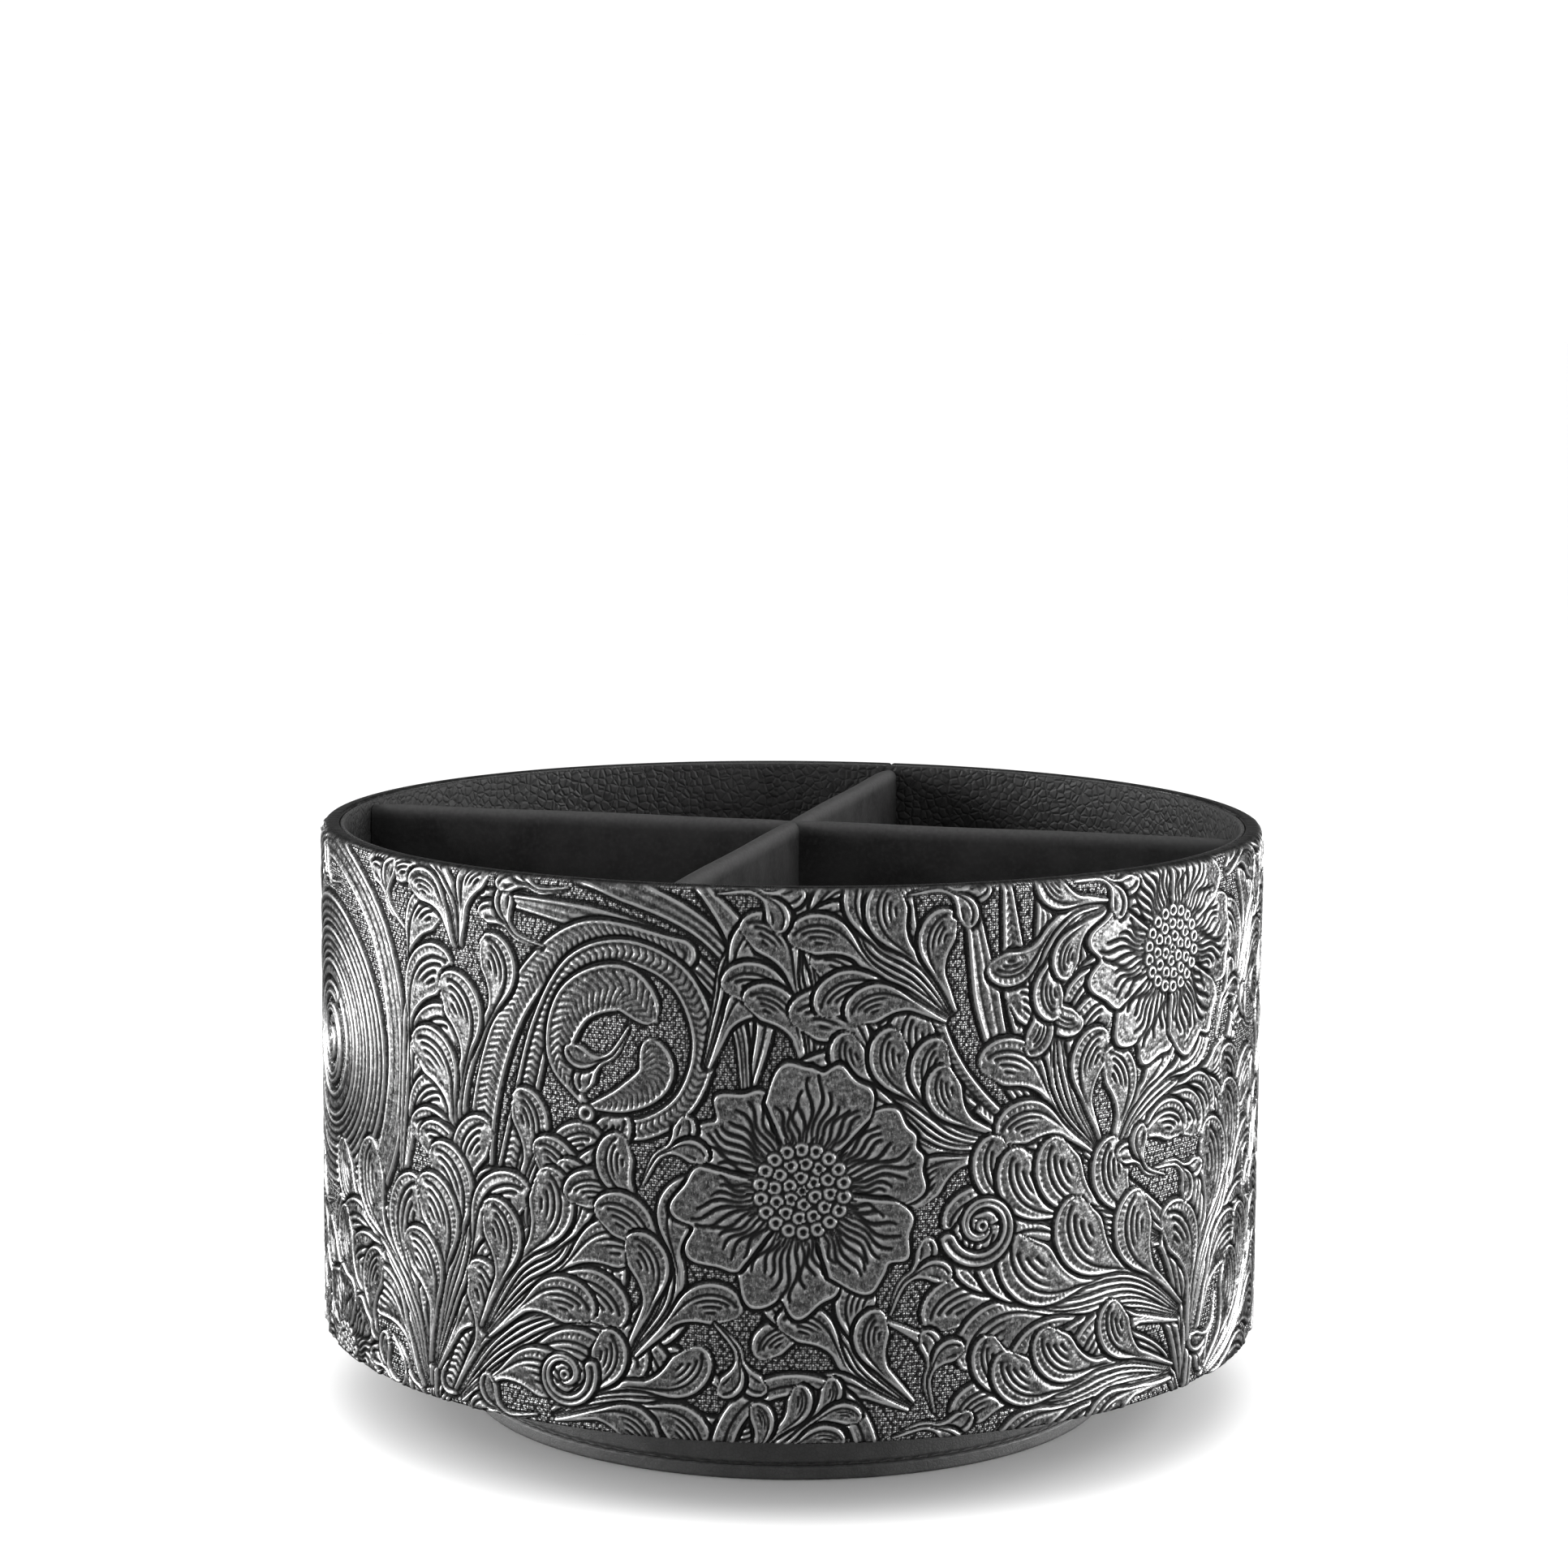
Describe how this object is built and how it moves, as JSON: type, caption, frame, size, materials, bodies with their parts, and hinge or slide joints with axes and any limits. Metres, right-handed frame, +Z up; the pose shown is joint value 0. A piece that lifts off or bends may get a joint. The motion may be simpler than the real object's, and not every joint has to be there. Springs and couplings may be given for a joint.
{
  "type": "rotating desk organizer",
  "caption": "Round rotating desk organizer: an embossed leather-covered drum with crossed dividers that make open pockets, turning on a ball-bearing turntable over a small covered base.",
  "frame": {"origin": "centre of the underside of the anti-slip pad, on the surface that the organizer stands on", "axes": "+Z up along the axis that the drum turns about; +X along the long divider; +Y along the cross divider, away from the viewer"},
  "size_m": [0.17, 0.17, 0.106],
  "materials": {
    "fibreboard": "matte",
    "embossed_cover": "embossed, metallic grey on black",
    "lining": "grained matte",
    "floor_lining": "grained matte",
    "underside": "grained matte",
    "divider_fabric": "soft matte",
    "bearing_plate": "zinc plated",
    "screws": "zinc plated",
    "cage_plastic": "matte",
    "balls": "polished",
    "rivet": "satin",
    "base_leather": "grained matte",
    "thread": "matte",
    "pad": "matte"
  },
  "bodies": {
    "base": {"anti_slip_pad": "pad", "base_bottom_cover": "base_leather", "base_board": "fibreboard", "base_cover": "base_leather", "base_seam_thread": "thread", "bearing_lower_plate": "bearing_plate", "lower_plate_screws": "screws", "centre_rivet": "rivet"},
    "cage": {"ball_cage": "cage_plastic", "bearing_balls": "balls"},
    "drum": {"bearing_upper_plate": "bearing_plate", "upper_plate_screws": "screws", "underside_cover": "underside", "drum_floor": "fibreboard", "drum_wall": "fibreboard", "outer_cover": "embossed_cover", "wall_lining": "lining", "floor_lining": "floor_lining", "long_divider_board": "fibreboard", "long_divider_cover": "divider_fabric", "cross_divider_board": "fibreboard", "cross_divider_cover": "divider_fabric"}
  },
  "joints": [
    {"name": "drum_spin", "type": "hinge", "parent": "base", "child": "drum", "pos_m": [0, 0, 0.0115], "axis": [0, 0, 1], "continuous": true},
    {"name": "cage_orbit", "type": "hinge", "parent": "base", "child": "cage", "pos_m": [0, 0, 0.0115], "axis": [0, 0, 1], "continuous": true}
  ],
  "couplings": [
    {"joint": "cage_orbit", "follows": "drum_spin", "ratio": 0.5}
  ]
}
